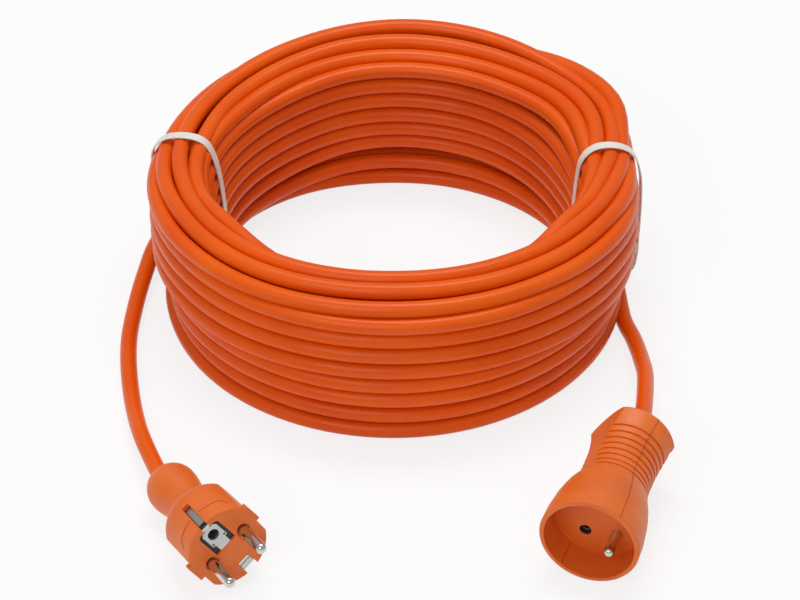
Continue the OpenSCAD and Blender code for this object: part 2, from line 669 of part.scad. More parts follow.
module socket_screws() color(steel) at_socket()
    for (s = [-1, 1])
        translate([s * screw_x, 0, screw_z]) rotate([-90, 0, 0]) difference() {
            union() {
                translate([0, 0, -screw_reach])
                    cylinder(h = screw_reach + screw_seat_y + 0.1, r = screw_r);
                translate([0, 0, screw_seat_y + 0.05]) cylinder(h = screw_head_t, r = screw_head_r);
            }
            // cross slot
            for (turn = [0, 90]) rotate([0, 0, turn])
                translate([-screw_slot_w / 2, -screw_head_r * 0.7,
                        screw_seat_y + 0.05 + screw_head_t - screw_slot_depth])
                    cube([screw_slot_w, screw_head_r * 1.4, screw_head_t]);
        }
module socket_sheath_end() color(orange_cord) at_socket()
    translate([0, 0, -socket_l]) cylinder(h = socket_sheath_in + socket_l, r = cord_r);
module socket_core(s) {
    a = core_lay;
    inner_core([for (p = [[s * a, -a / 2, socket_sheath_in], [s * a * 1.2, -a / 2, -54],
            [s * 6, -0.6, -49], [s * (pin_x - 0.3), 0, -46.4],
            [s * pin_x, 0, -44.8], [s * pin_x, 0, contact_back - crimp_l + 3.6]]) on_socket(p)]);
}
module socket_live_core() color(copper_brown) socket_core(1);
module socket_neutral_core() color(core_blue) socket_core(-1);
module socket_earth_core() color(core_green)
    inner_core([for (p = [[0, core_lay, socket_sheath_in], [0, core_lay * 1.3, -54],
        [0, 6, -48.5], [0, earth_off - 1.4, -45.6], [0, earth_off - 1.2, -44],
        [0, earth_off - 1.2, carrier_back - crimp_l + 2.6]]) on_socket(p)]);

echo(plug_face = on_plug([0, 0, 0]), plug_axis = axis_of(plug_yaw, plug_tilt), plug_tilt = plug_tilt);
echo(live_pin = on_plug([pin_x, 0, 0]), neutral_pin = on_plug([-pin_x, 0, 0]));
echo(earth_hole = on_plug([0, earth_off, insert_face]));
echo(socket_rim = on_socket([0, 0, 0]), socket_axis = axis_of(socket_yaw, socket_tilt));
echo(entry_a = on_socket([pin_x, 0, floor_z]), entry_b = on_socket([-pin_x, 0, floor_z]));
echo(socket_pin = on_socket([0, earth_off, floor_z]));

coil_winding();
coil_core();
left_cable_tie();
right_cable_tie();
plug_lead();
socket_lead();
plug_body();
plug_insert();
plug_live_pin();
plug_neutral_pin();
plug_earth_strap();
plug_earth_sleeve();
plug_sheath_end();
plug_live_core();
plug_neutral_core();
plug_earth_core();
socket_shell_upper();
socket_shell_lower();
socket_carrier();
socket_live_contact();
socket_neutral_contact();
socket_earth_pin();
socket_screws();
socket_sheath_end();
socket_live_core();
socket_neutral_core();
socket_earth_core();
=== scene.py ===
"""Coiled orange extension lead: its looks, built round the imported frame. Metres, +Z up."""

import math

import bmesh
import bpy
from mathutils import Matrix, Vector
from mathutils.bvhtree import BVHTree


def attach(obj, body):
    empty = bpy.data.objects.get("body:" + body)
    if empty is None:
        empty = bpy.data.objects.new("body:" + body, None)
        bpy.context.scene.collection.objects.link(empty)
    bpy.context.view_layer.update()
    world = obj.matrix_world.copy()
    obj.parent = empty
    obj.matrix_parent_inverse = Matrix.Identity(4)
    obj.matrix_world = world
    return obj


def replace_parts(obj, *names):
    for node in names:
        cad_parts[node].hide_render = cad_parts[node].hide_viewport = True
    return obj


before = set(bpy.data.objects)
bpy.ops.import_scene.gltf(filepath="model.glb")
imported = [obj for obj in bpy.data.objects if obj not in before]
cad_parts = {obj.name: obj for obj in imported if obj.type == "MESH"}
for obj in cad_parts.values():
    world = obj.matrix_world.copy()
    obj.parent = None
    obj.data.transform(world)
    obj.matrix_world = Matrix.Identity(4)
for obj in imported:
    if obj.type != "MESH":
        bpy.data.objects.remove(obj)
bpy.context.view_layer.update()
MM = 0.001
UP = Vector((0, 0, 1))

# ---------------------------------------------------------------- camera
eye = bpy.data.cameras.new("camera")
eye.lens = 183.5
eye.sensor_width = 36
eye.clip_start = 0.05
camera = bpy.data.objects.new("camera", eye)
camera.location = (0.0099, -1.4632, 1.1593)
camera.rotation_euler = (math.radians(51.55), 0, math.radians(0.32))
bpy.context.collection.objects.link(camera)
bpy.context.scene.camera = camera

# ---------------------------------------------------------------- sizes, in mm and degrees
CORD_R = 3.75
TURNS = 32
SOCKET_EXIT = 6  # where the socket's lead joins the coil, round it
PLUG_EXIT = 142
LEFT_TIE = 167
RIGHT_TIE = 9
STRAP_W = 4.4
STRAP_T = 0.8
PIN_X = 9.5  # pins and contact entries lie this far either side of a connector's line
PLUG_L = 64.7  # from the face to the cord's entry
SOCKET_L = 80
CORD_INSIDE = 4  # length of cord that runs on inside a connector
PLUG_AT, PLUG_YAW, PLUG_ROLL, PLUG_TILT = (-68.9, -196.1, 21.4638), 28.4, 35, 9.7
SOCKET_AT, SOCKET_YAW, SOCKET_ROLL, SOCKET_TILT = (81.6, -192.9, 21.8967), -18, -126.6, -1


def pose(at, yaw, roll, tilt):
    """The matrix of a connector: its own +Z runs out of its face. Millimetres in, metres out."""
    turn = Matrix.Rotation(math.radians(yaw), 4, "Z") @ Matrix.Rotation(math.radians(90 - tilt), 4, "X")
    turn = turn @ Matrix.Rotation(math.radians(roll), 4, "Z")
    return Matrix.Translation(Vector(at) * MM) @ turn @ Matrix.Scale(MM, 4)


PLUG = pose(PLUG_AT, PLUG_YAW, PLUG_ROLL, PLUG_TILT)
SOCKET = pose(SOCKET_AT, SOCKET_YAW, SOCKET_ROLL, SOCKET_TILT)


# ---------------------------------------------------------------- materials
def linear(hex_colour):
    parts = [int(hex_colour[i : i + 2], 16) / 255 for i in (1, 3, 5)]
    return tuple(c / 12.92 if c <= 0.04045 else ((c + 0.055) / 1.055) ** 2.4 for c in parts) + (1,)


def add(tree, kind, settings=None, links=None):
    """One node: settings are attributes or sockets, links are sockets fed by another node's output."""
    node = tree.nodes.new(kind)
    for name, value in (settings or {}).items():
        if isinstance(name, str) and hasattr(node, name):
            setattr(node, name, value)
        else:
            node.inputs[name].default_value = value
    for name, source in (links or {}).items():
        tree.links.new(source, node.inputs[name])
    return node


def material(name):
    made = bpy.data.materials.new(name)
    made.use_nodes = True
    made.node_tree.nodes.clear()
    return made, made.node_tree


NOISE_SPAN = {"From Min": 0.3, "From Max": 0.7}  # nearly all of a noise's values


def two_tone(tree, noise, dark, light):
    """A colour that drifts from one tone to the other with a noise."""
    share = add(tree, "ShaderNodeMapRange", NOISE_SPAN, {"Value": noise})
    mix = add(tree, "ShaderNodeMix", {"data_type": "RGBA", 6: linear(dark), 7: linear(light)}, {0: share.outputs[0]})
    return mix.outputs[2]


def extruded_pvc():
    """Flexible PVC sheath, extruded: an even satin orange with faint draw lines and scuffs."""
    made, tree = material("pvc_sheath_extruded")
    along_round = add(tree, "ShaderNodeUVMap", {"uv_map": "sheath"}).outputs[0]
    place = add(tree, "ShaderNodeTexCoord").outputs["Object"]
    # draw lines are about 1 mm apart round the cord and 80 mm long; the UV is in millimetres
    drawn = add(tree, "ShaderNodeMapping", {"Scale": (0.012, 1.1, 1)}, {"Vector": along_round})
    lines = add(tree, "ShaderNodeTexNoise", {"Scale": 1.0, "Detail": 3, "Roughness": 0.6},
                {"Vector": drawn.outputs[0]})
    # the tone drifts over about 40 mm, scuffs are about 3 mm across
    drift = add(tree, "ShaderNodeTexNoise", {"Scale": 25, "Detail": 2}, {"Vector": place})
    scuffs = add(tree, "ShaderNodeTexNoise", {"Scale": 300, "Detail": 2, "Roughness": 0.5}, {"Vector": place})
    gloss = add(tree, "ShaderNodeMapRange", {"From Min": 0.35, "From Max": 0.7, "To Min": 0.3, "To Max": 0.38},
                {"Value": scuffs.outputs["Fac"]})
    relief = add(tree, "ShaderNodeBump", {"Strength": 0.05, "Distance": 0.1 * MM}, {"Height": lines.outputs["Fac"]})
    shader = add(tree, "ShaderNodeBsdfPrincipled", {"IOR": 1.5, "Specular IOR Level": 0.25},
                 {"Base Color": two_tone(tree, drift.outputs["Fac"], "#E15200", "#E95E00"),
                  "Roughness": gloss.outputs[0], "Normal": relief.outputs[0]})
    add(tree, "ShaderNodeOutputMaterial", links={"Surface": shader.outputs[0]})
    return made


def moulded(name, dark, light, rough, grain_mm, depth_mm, ior=1.5, subsurface=0.0):
    """A moulded plastic: a fine spark-eroded grain, and a tone that drifts a little."""
    made, tree = material(name)
    place = add(tree, "ShaderNodeTexCoord").outputs["Object"]
    # the tone drifts over about 17 mm
    drift = add(tree, "ShaderNodeTexNoise", {"Scale": 60, "Detail": 2}, {"Vector": place})
    # one grain of the mould's texture is grain_mm across, so a wave of the noise is two
    grain = add(tree, "ShaderNodeTexNoise", {"Scale": 1000 / grain_mm / 2, "Detail": 2, "Roughness": 0.6},
                {"Vector": place})
    gloss = add(tree, "ShaderNodeMapRange", {**NOISE_SPAN, "To Min": rough - 0.05, "To Max": rough + 0.05},
                {"Value": grain.outputs["Fac"]})
    relief = add(tree, "ShaderNodeBump", {"Strength": 0.35, "Distance": depth_mm * MM},
                 {"Height": grain.outputs["Fac"]})
    shader = add(tree, "ShaderNodeBsdfPrincipled",
                 {"IOR": ior, "Subsurface Weight": subsurface, "Subsurface Scale": 2 * MM},
                 {"Base Color": two_tone(tree, drift.outputs["Fac"], dark, light),
                  "Roughness": gloss.outputs[0], "Normal": relief.outputs[0]})
    add(tree, "ShaderNodeOutputMaterial", links={"Surface": shader.outputs[0]})
    return made


def plated(name, dark, light, rough, mark_mm, rough_spread=0.02):
    """A plated metal: reflections broken a little by marks mark_mm across."""
    made, tree = material(name)
    place = add(tree, "ShaderNodeTexCoord").outputs["Object"]
    marks = add(tree, "ShaderNodeTexNoise", {"Scale": 1000 / mark_mm / 2, "Detail": 2}, {"Vector": place})
    gloss = add(tree, "ShaderNodeMapRange",
                {**NOISE_SPAN, "To Min": rough - rough_spread, "To Max": rough + rough_spread},
                {"Value": marks.outputs["Fac"]})
    shader = add(tree, "ShaderNodeBsdfPrincipled", {"Metallic": 1.0},
                 {"Base Color": two_tone(tree, marks.outputs["Fac"], dark, light), "Roughness": gloss.outputs[0]})
    add(tree, "ShaderNodeOutputMaterial", links={"Surface": shader.outputs[0]})
    return made


SHEATH = extruded_pvc()
# soft PVC moulded over the cord's end: satin, a lighter orange than the sheath
PVC_HOUSING = moulded("pvc_housing_moulded", "#DC6418", "#E66F22", 0.46, 0.6, 0.03)
# glass-filled nylon of the insert: black, dull
BLACK_NYLON = moulded("nylon_insert_moulded", "#17181B", "#202226", 0.45, 0.5, 0.02)
# natural nylon 6.6 of the ties: milky, slightly see-through at its edges
TIE_NYLON = moulded("nylon_tie_moulded", "#DAD8D0", "#EAE8E2", 0.38, 1.2, 0.02, ior=1.53, subsurface=0.25)
# heat-resistant carrier of the contacts: plain grey, dull
CARRIER = moulded("carrier_moulded", "#8E9194", "#9B9EA1", 0.5, 0.5, 0.02)
# turned brass pins, bright nickel over them: close to a mirror
NICKEL = plated("brass_nickel_plated", "#CDCBC6", "#D8D6D1", 0.13, 3)
# pressed strip of the earth contact, satin nickel: light grey, blurred reflections
SATIN_NICKEL = plated("strip_nickel_satin", "#BDBDBB", "#CACAC8", 0.42, 1.5, 0.04)
# where the shell steps and where two halves of a mould met: the same PVC, painted darker as the shade along these
# lines
PAINTED_LINE_SHADE = moulded("pvc_painted_line_shade", "#A8430E", "#B04A12", 0.6, 0.6, 0.01)
# zinc-plated screws: grey with a soft sheen
STEEL = plated("steel_zinc_plated", "#A9ACAE", "#C6C9CB", 0.32, 0.8)
# coloured PVC of the three cores: smooth and satin
BROWN_CORE = moulded("core_pvc_brown", "#5A3320", "#6A3D27", 0.4, 1.0, 0.01)
BLUE_CORE = moulded("core_pvc_blue", "#1F5FA8", "#2A6DB8", 0.4, 1.0, 0.01)
EARTH_CORE = moulded("core_pvc_green_yellow", "#6FA22B", "#D8D23A", 0.4, 1.0, 0.01)


# ---------------------------------------------------------------- mesh helpers
def piece_from(work, name, finish, crisp_angle=35):
    """A piece of the part's one body, shaded smooth except at edges sharper than crisp_angle."""
    bmesh.ops.recalc_face_normals(work, faces=work.faces)
    work.normal_update()
    for face in work.faces:
        face.smooth = True
    for edge in work.edges:
        edge.smooth = edge.calc_face_angle(0) <= math.radians(crisp_angle)
    mesh = bpy.data.meshes.new(name)
    work.to_mesh(mesh)
    work.free()
    mesh.materials.append(finish)
    made = bpy.data.objects.new(name, mesh)
    bpy.context.collection.objects.link(made)
    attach(made, "root")
    return made


def band(work, ring, after):
    """Faces between two closed rings of as many corners."""
    corners = len(ring)
    return [work.faces.new((ring[j], ring[(j + 1) % corners], after[(j + 1) % corners], after[j]))
            for j in range(corners)]


def closed_band(work, rings):
    """Faces through all rings and back to the first."""
    for ring, after in zip(rings, rings[1:] + rings[:1]):
        band(work, ring, after)


def capped_band(work, rings):
    """Faces through all rings, with both ends closed."""
    for ring, after in zip(rings, rings[1:]):
        band(work, ring, after)
    work.faces.new(rings[0][::-1])
    work.faces.new(rings[-1])


def tube(points, radius, sides):
    """A tube along points, closed at both ends, with UVs in millimetres: along it and round it."""
    work = bmesh.new()
    uv = work.loops.layers.uv.new("sheath")
    rings, run = [], [0.0]
    for a, b in zip(points, points[1:]):
        run.append(run[-1] + (b - a).length)
    for i, at in enumerate(points):
        way = (points[min(i + 1, len(points) - 1)] - points[max(i - 1, 0)]).normalized()
        side = way.cross(UP).normalized()
        top = side.cross(way)
        ring = []
        for k in range(sides):
            turn = 2 * math.pi * k / sides
            ring.append(work.verts.new(at + (side * math.cos(turn) + top * math.sin(turn)) * radius))
        rings.append(ring)
    side_mm = 2 * math.pi * radius / MM / sides
    for i in range(len(rings) - 1):
        for k, face in enumerate(band(work, rings[i], rings[i + 1])):
            for loop, (u, v) in zip(face.loops, ((i, k), (i, k + 1), (i + 1, k + 1), (i + 1, k))):
                loop[uv].uv = (run[u] / MM, v * side_mm)
    work.faces.new(rings[0][::-1])
    work.faces.new(rings[-1])
    return work


def curve_point(a, b, c, d, u):
    """The point u of the way from b to c on the smooth curve through all four."""
    return 0.5 * (2 * b + (c - a) * u + (2 * a - 5 * b + 4 * c - d) * u**2 + (3 * b - a - 3 * c + d) * u**3)


# ---------------------------------------------------------------- the coil
# Each turn of the coil has a place in the bundle, as (radius, height) of its
# middle. The cord goes in at the foot of the outer wall, fills the middle,
# climbs the inner wall and comes down outside. FRONT and BACK are the places
# in that order. A turn comes round to the front SLIP places earlier than it
# was at the back, so the upper turns lie askew over the ones below.
FRONT = [
    (99.4, 3.75),
    (96.0, 10.6), (98.0, 19.5), (98.0, 28.8), (98.0, 38.0), (98.0, 47.0), (97.0, 56.0), (94.0, 66.0),
    (90.6, 59.0), (90.6, 49.0), (90.6, 38.5), (90.8, 28.0), (90.6, 17.5),
    (91.9, 3.75),
    (84.4, 3.75), (83.5, 12.5), (83.2, 21.3), (83.0, 30.0), (82.9, 38.6), (82.7, 47.2), (82.4, 55.8), (82.2, 65.0),
    (83.0, 75.1), (91.5, 74.7), (99.5, 71.1), (104.5, 64.9),
    (103.4, 57.1), (104.6, 49.7), (104.6, 41.3), (104.2, 33.1), (103.6, 24.8), (100.0, 12.8),
]
BACK = [
    (104.0, 3.75),
    (100.0, 10.4), (98.6, 18.0), (98.8, 27.0), (99.0, 36.0), (99.2, 45.0), (99.2, 54.0), (97.0, 63.0),
    (91.2, 61.0), (91.0, 52.5), (91.2, 43.5), (91.6, 34.0), (92.2, 24.5), (93.4, 12.5),
    (95.4, 3.75),
    (87.0, 4.3), (86.0, 13.6), (85.0, 26.5), (84.0, 34.8), (83.6, 42.6), (83.3, 50.9), (83.0, 59.1),
    (83.0, 67.6), (91.0, 69.4), (98.5, 73.5), (107.7, 74.25),
    (107.4, 65.9), (107.0, 57.5), (106.6, 49.1), (106.2, 40.6), (105.6, 32.2), (105.0, 23.6), (104.4, 14.4),
]
SLIP = 3
# The first turns keep to the foot of the outer wall at the front
FOOT_FRONT = [(99.4, 3.75), (100.0, 12.8), (103.6, 24.8), (104.2, 33.1)]
# The cord's middle where it leaves the coil for either connector
START = (99.606, 5.972)
END = (103.454, 7.657)
# How much of the slip is done at each angle: from back to front, then from front to back
LEFT_SLIP = [
    (90, 0), (104, 0.02), (122, 0.13), (132, 0.18), (148, 0.24), (158, 0.3), (165, 0.35), (178, 0.45),
    (188, 0.55), (198, 0.63), (215, 0.73), (232, 0.84), (251, 0.95), (270, 1),
]
RIGHT_SLIP = [
    (270, 0), (288, 0.02), (307, 0.08), (327, 0.2), (336, 0.26), (346, 0.36), (356, 0.47), (363.5, 0.58),
    (369.5, 0.69), (376, 0.775), (387, 0.87), (397, 0.925), (407, 0.955), (420, 0.985), (450, 1),
]
# Turns that stand off the rest: angle counted on from the cord's start, reach in degrees, out, up
SWELLS = [
    (360 * 26 + 43, 42, 3.6, 6.4),
    (360 * 25 + 36, 26, 0.0, -2.0),
    (360 * 27 + 14, 24, 5.0, 3.4),
    (360 * 25 + 74, 40, 1.0, 0.8),
]
# Where the upper part of the bundle stands out: angle, reach, out, from what height, from what radius
SHOULDERS = [(28, 34, 4.6, 50, 0), (166, 50, 3.0, 20, 92)]
# Line of each strap round the bundle, as (radius, height) of its middle, anticlockwise
LEFT_LINE = [
    (113.2, 63.3), (110.5, 68.7), (105.9, 72.4), (99.5, 74.1), (93.2, 74.1), (88.6, 72.2), (85.8, 68.2),
    (83.6, 61.7), (82.0, 53.3), (81.0, 44.8), (80.2, 35), (79.8, 20), (80.4, 8), (83.5, 2.2), (90, 0.7),
    (98, 0.7), (106, 1.6), (110.3, 7), (111.4, 20), (112.6, 40), (113.4, 54),
]
RIGHT_LINE = [
    (81.4, 42), (80.8, 25), (80.8, 10), (82.6, 3), (88, 0.7), (96, 0.7), (104, 0.9), (109.6, 4.2),
    (111.4, 12.4), (111.7, 21.1), (112.1, 30.7), (112.3, 40.2), (112.2, 49.6), (111.6, 57.3), (109.8, 65.0),
    (107.3, 69.9), (103.3, 72.9), (98.7, 74.5), (94.0, 74.9), (89.6, 73.9), (85.9, 70.9), (83.7, 66.5),
    (82.7, 60.5), (82.1, 54.5),
]
# Degrees before and after each tie over which the turns spread again, past the few that it holds
LEFT_FADE = (45, 52)
RIGHT_FADE = (40, 17)
TIE_HOLD = 3
STRAP_ROOM = CORD_R + 0.5
# A strap passes under the coil, so it lifts the foot and presses down the top
TOP_Z, PRESSED_FROM_Z, FOOT_Z = 75, 20, 4
FOOT_LIFT, TOP_PRESS = 1.9, 2.2
# Over how many millimetres a shoulder grows outwards and upwards
SHOULDER_OUT, SHOULDER_UP = 12, 15
# How far a turn strays from its place, out and up
STRAY_OUT, STRAY_UP = 0.35, 0.25
STEPS_PER_TURN = 108
SOFTENING = 4
CORD_SIDES = 16


def clamp(value):
    return min(1, max(0, value))


def offset(angle, where):
    """Degrees from one angle to the other, the short way round."""
    return (angle - where + 180) % 360 - 180


def hump(off, reach):
    """1 at 0, falling smoothly to 0 at reach and beyond."""
    return (1 + math.cos(math.pi * min(off, reach) / reach)) / 2


def held_share(angle, where, fade):
    """1 at a tie, fading to 0 before and after it."""
    off = offset(angle, where)
    reach = fade[1] if off > 0 else fade[0]
    return hump(max(0, abs(off) - TIE_HOLD), reach - TIE_HOLD)


def pushed_in(r, z, line, room):
    """Where a strand goes so that it keeps room from the strap's line."""
    best = None
    for (ax, az), (bx, bz) in zip(line, line[1:] + line[:1]):
        dx, dz = bx - ax, bz - az
        u = clamp(((r - ax) * dx + (z - az) * dz) / (dx * dx + dz * dz))
        foot_r, foot_z = ax + u * dx, az + u * dz
        gap = math.hypot(r - foot_r, z - foot_z)
        if best is None or gap < best:
            size = math.hypot(dx, dz)
            # the line runs anticlockwise, so its inside is on the left
            best, in_r, in_z = gap, -dz / size, dx / size
            inside = (r - foot_r) * in_r + (z - foot_z) * in_z
    push = max(0, room - inside)
    return r + in_r * push, z + in_z * push


def along(table, at):
    """The value at a place in a rising table of (place, value)."""
    for (a, low), (b, high) in zip(table, table[1:]):
        if at <= b:
            return low + (high - low) * clamp((at - a) / (b - a))
    return table[-1][1]


def station(places, n):
    """A place part of the way between two of the listed ones."""
    n = min(len(places) - 1.001, max(0, n))
    i = int(n)
    return Vector(places[i]).lerp(Vector(places[i + 1]), n - i)


def turn_place(angle):
    """(radius, height) of the cord's middle at an angle counted on from its start, mm."""
    if angle < 90:
        return Vector(START).lerp(Vector(BACK[0]), (angle - SOCKET_EXIT) / (90 - SOCKET_EXIT))
    if angle > 90 + 360 * TURNS:
        return Vector(BACK[TURNS]).lerp(Vector(END), (angle - 90 - 360 * TURNS) / (PLUG_EXIT - 90))
    k, part = divmod(angle - 90, 360)
    k = int(k)
    share = part / 180 if part < 180 else 2 - part / 180
    # partly at an even rate, partly eased at the front and the back
    share = 0.4 * share + 0.6 * (1 - math.cos(math.pi * share)) / 2
    if k < len(FOOT_FRONT):
        return Vector(BACK[k] if part < 180 else BACK[k + 1]).lerp(Vector(FOOT_FRONT[k]), share)
    if part < 180:
        n = k - SLIP * along(LEFT_SLIP, part + 90)
    else:
        n = k - SLIP + (SLIP + 1) * along(RIGHT_SLIP, part + 90)
    return station(BACK, n).lerp(station(FRONT, n), share)


def coil_points():
    points = []
    whole = TURNS + (PLUG_EXIT - SOCKET_EXIT) / 360
    count = round(whole * STEPS_PER_TURN)
    for i in range(count + 1):
        turns = whole * i / count
        angle = SOCKET_EXIT + 360 * turns
        r, z = turn_place(angle)
        for where, reach, out, up in SWELLS:
            share = hump(abs(angle - where), reach)
            r, z = r + out * share, z + up * share
        for where, reach, out, from_z, from_r in SHOULDERS:
            share = clamp((r - from_r) / SHOULDER_OUT) * clamp((z - from_z) / SHOULDER_UP)
            r += out * share * hump(abs(offset(angle, where)), reach)
        left, right = held_share(angle, LEFT_TIE, LEFT_FADE), held_share(angle, RIGHT_TIE, RIGHT_FADE)
        held = max(left, right)
        lift = FOOT_LIFT * held * (TOP_Z - z) / (TOP_Z - FOOT_Z)
        z += lift - TOP_PRESS * held * max(0, z - PRESSED_FROM_Z) / (TOP_Z - PRESSED_FROM_Z)
        for line, share in ((LEFT_LINE, left), (RIGHT_LINE, right)):
            if share > 0:
                to_r, to_z = pushed_in(r, z, line, STRAP_ROOM)
                r, z = r + share * (to_r - r), z + share * (to_z - z)
        # no turn lies quite like the next, but the two ends meet their leads
        ends = min(1, turns * 4, (whole - turns) * 4)
        loose = (1 - held) * clamp((z - 6) / 6)
        r += ends * STRAY_OUT * math.sin(2.3 * turns + 1.7 * math.sin(5.1 * turns))
        z += ends * loose * STRAY_UP * math.sin(3.7 * turns + 2.1 * math.sin(2.9 * turns))
        turn = math.radians(angle)
        points.append(Vector((r * math.cos(turn), r * math.sin(turn), max(z, CORD_R))) * MM)
    # a stiff cord takes no sharp bend
    for _ in range(SOFTENING):
        points[1:-1] = [(a + 2 * b + c) / 4 for a, b, c in zip(points, points[1:], points[2:])]
    return points


# ---------------------------------------------------------------- the leads and the whole cord
PLUG_ROUTE = [(-105.5, 38, 9.5), (-111.5, 24, 9), (-115, 8, 7), (-118, -10, 4.6), (-120, -34, 3.75),
              (-119.3, -54, 3.75), (-117, -74, 4), (-114, -92, 5.4), (-109.5, -112, 8.6)]
SOCKET_ROUTE = [(103, -21, 4.2), (107, -37, 5), (109.6, -56, 8.5), (110.4, -76, 14)]
LEAD_STEPS = 6


def lead(start, start_way, route, finish, finish_way):
    """A smooth curve from the coil over the route, in mm, and straight into a connector."""
    stub = 2 * CORD_R * MM
    stops = [start, start + start_way * stub, *(Vector(p) * MM for p in route), finish - finish_way * stub, finish]
    padded = [stops[0], *stops, stops[-1]]
    return [curve_point(*padded[i : i + 4], k / LEAD_STEPS) for i in range(len(stops) - 1)
            for k in range(LEAD_STEPS)] + [finish]


coil = coil_points()
socket_tail = SOCKET @ Vector((0, 0, CORD_INSIDE - SOCKET_L))
plug_tail = PLUG @ Vector((0, 0, CORD_INSIDE - PLUG_L))
socket_way = (SOCKET.to_3x3() @ UP).normalized()
plug_way = (PLUG.to_3x3() @ UP).normalized()
into_coil = (coil[1] - coil[0]).normalized()
out_of_coil = (coil[-1] - coil[-2]).normalized()
socket_lead = lead(coil[0], -into_coil, SOCKET_ROUTE, socket_tail, socket_way)
plug_lead = lead(coil[-1], out_of_coil, PLUG_ROUTE, plug_tail, plug_way)
cord_line = [*reversed(socket_lead[1:]), *coil, *plug_lead[1:]]
cord = piece_from(tube(cord_line, CORD_R * MM, CORD_SIDES), "cord", SHEATH, 180)
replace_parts(cord, "coil_winding", "coil_core", "plug_lead", "socket_lead")

# ---------------------------------------------------------------- ties
STRAP_EDGE = 0.22
STRAP_STEPS = 160
CURVE_STEPS = 12
ON_FLOOR = 0.02
# the locking head: its height, and how far it reaches out from the strap's line on the outer wall
HEAD_LOW, HEAD_HIGH = 14.0, 19.4
HEAD_OUTER, HEAD_INNER, HEAD_CORNER = 0.2, -3.6, 0.8
HEAD_HALF_W = 2.4


def closed_curve(line, count):
    """Evenly spaced points on a smooth closed curve through the line's points."""
    n = len(line)
    fine = [curve_point(*(Vector(line[(i + k - 1) % n]) for k in range(4)), step / CURVE_STEPS)
            for i in range(n) for step in range(CURVE_STEPS)]
    runs = [0.0]
    for i in range(len(fine)):
        runs.append(runs[-1] + (fine[(i + 1) % len(fine)] - fine[i]).length)
    made, j = [], 0
    for k in range(count):
        want = runs[-1] * k / count
        while runs[j + 1] < want:
            j += 1
        u = (want - runs[j]) / (runs[j + 1] - runs[j])
        made.append(fine[j].lerp(fine[(j + 1) % len(fine)], u))
    return made


def cable_tie(name, angle, line):
    """Strap with rounded edges drawn round the bundle; its locking head lies behind it, low on the outer wall."""
    way = math.radians(angle)
    out, back = Vector((math.cos(way), math.sin(way), 0)), Vector((-math.sin(way), math.cos(way), 0))
    loop = closed_curve(line, STRAP_STEPS)
    work = bmesh.new()
    w, t, e = STRAP_W / 2, STRAP_T / 2, STRAP_EDGE
    section = [(-w, e - t), (-w + e, -t), (w - e, -t), (w, e - t), (w, t - e), (w - e, t), (-w + e, t), (-w, t - e)]
    rings = []
    for k in range(len(loop)):
        step = loop[(k + 1) % len(loop)] - loop[k - 1]
        normal = Vector((step.y, -step.x)).normalized()
        ring = []
        for across, up in section:
            flat = loop[k] + normal * up
            ring.append(work.verts.new((out * flat.x + back * across + UP * max(flat.y, ON_FLOOR)) * MM))
        rings.append(ring)
    closed_band(work, rings)
    wall = max(p.x for p in loop if HEAD_LOW - 1 < p.y < HEAD_HIGH + 0.6)
    outer, inner, corner = wall + HEAD_OUTER, wall + HEAD_INNER, HEAD_CORNER
    head = [(outer, HEAD_LOW), (inner + corner, HEAD_LOW), (inner, HEAD_LOW + corner),
            (inner, HEAD_HIGH - corner), (inner + corner, HEAD_HIGH), (outer, HEAD_HIGH)]
    capped_band(work, [[work.verts.new((out * x + back * across + UP * z) * MM) for x, z in head]
                       for across in (-HEAD_HALF_W, HEAD_HALF_W)])
    return piece_from(work, name, TIE_NYLON, 40)


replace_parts(cable_tie("left_tie", LEFT_TIE, LEFT_LINE), "left_cable_tie")
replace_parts(cable_tie("right_tie", RIGHT_TIE, RIGHT_LINE), "right_cable_tie")

# ---------------------------------------------------------------- carried-over pieces
FINISHES = {
    PVC_HOUSING: ["plug_body", "socket_shell_upper", "socket_shell_lower"],
    BLACK_NYLON: ["plug_insert"],
    NICKEL: ["plug_live_pin", "plug_neutral_pin", "socket_live_contact", "socket_neutral_contact", "socket_earth_pin"],
    SATIN_NICKEL: ["plug_earth_strap", "plug_earth_sleeve"],
    CARRIER: ["socket_carrier"],
    STEEL: ["socket_screws"],
    SHEATH: ["plug_sheath_end", "socket_sheath_end"],
    BROWN_CORE: ["plug_live_core", "socket_live_core"],
    BLUE_CORE: ["plug_neutral_core", "socket_neutral_core"],
    EARTH_CORE: ["plug_earth_core", "socket_earth_core"],
}
for finish, nodes in FINISHES.items():
    for name in nodes:
        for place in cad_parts[name].material_slots:
            place.material = finish


# ---------------------------------------------------------------- small parts of the plug and the socket
ROUND_SIDES = 48
LINE_SIDES = 8
BEYOND = 40  # well outside either connector


def plate(name, outline, low, high, bevel, finish):
    """A flat piece on the plug: an outline in x and y, from low to high along it, its front edge chamfered."""
    middle = sum((Vector(p) for p in outline), Vector((0, 0))) / len(outline)
    work = bmesh.new()
    levels = []
    for z, inset in ((low, 0), (high - bevel, 0), (high, bevel)):
        ring = []
        for p in outline:
            out = Vector(p) - middle
            at = middle + out * (1 - inset / out.length)
            ring.append(work.verts.new(PLUG @ Vector((at.x, at.y, z))))
        levels.append(ring)
    capped_band(work, levels)
    return piece_from(work, name, finish)


def ring_piece(name, x, section, where, finish):
    """A round piece at x on a connector: a closed section of (radius, z) turned about its own line."""
    work = bmesh.new()
    rings = []
    for k in range(ROUND_SIDES):
        turn = 2 * math.pi * k / ROUND_SIDES
        rings.append([work.verts.new(where @ Vector((x + r * math.cos(turn), r * math.sin(turn), z)))
                      for r, z in section])
    closed_band(work, rings)
    return piece_from(work, name, finish)


def line_piece(name, points, radius, where):
    """A fine line of the mould that follows a surface, painted darker as the shade along it."""
    work = tube([where @ Vector(p) for p in points], radius * MM, LINE_SIDES)
    return piece_from(work, name, PAINTED_LINE_SHADE, 180)


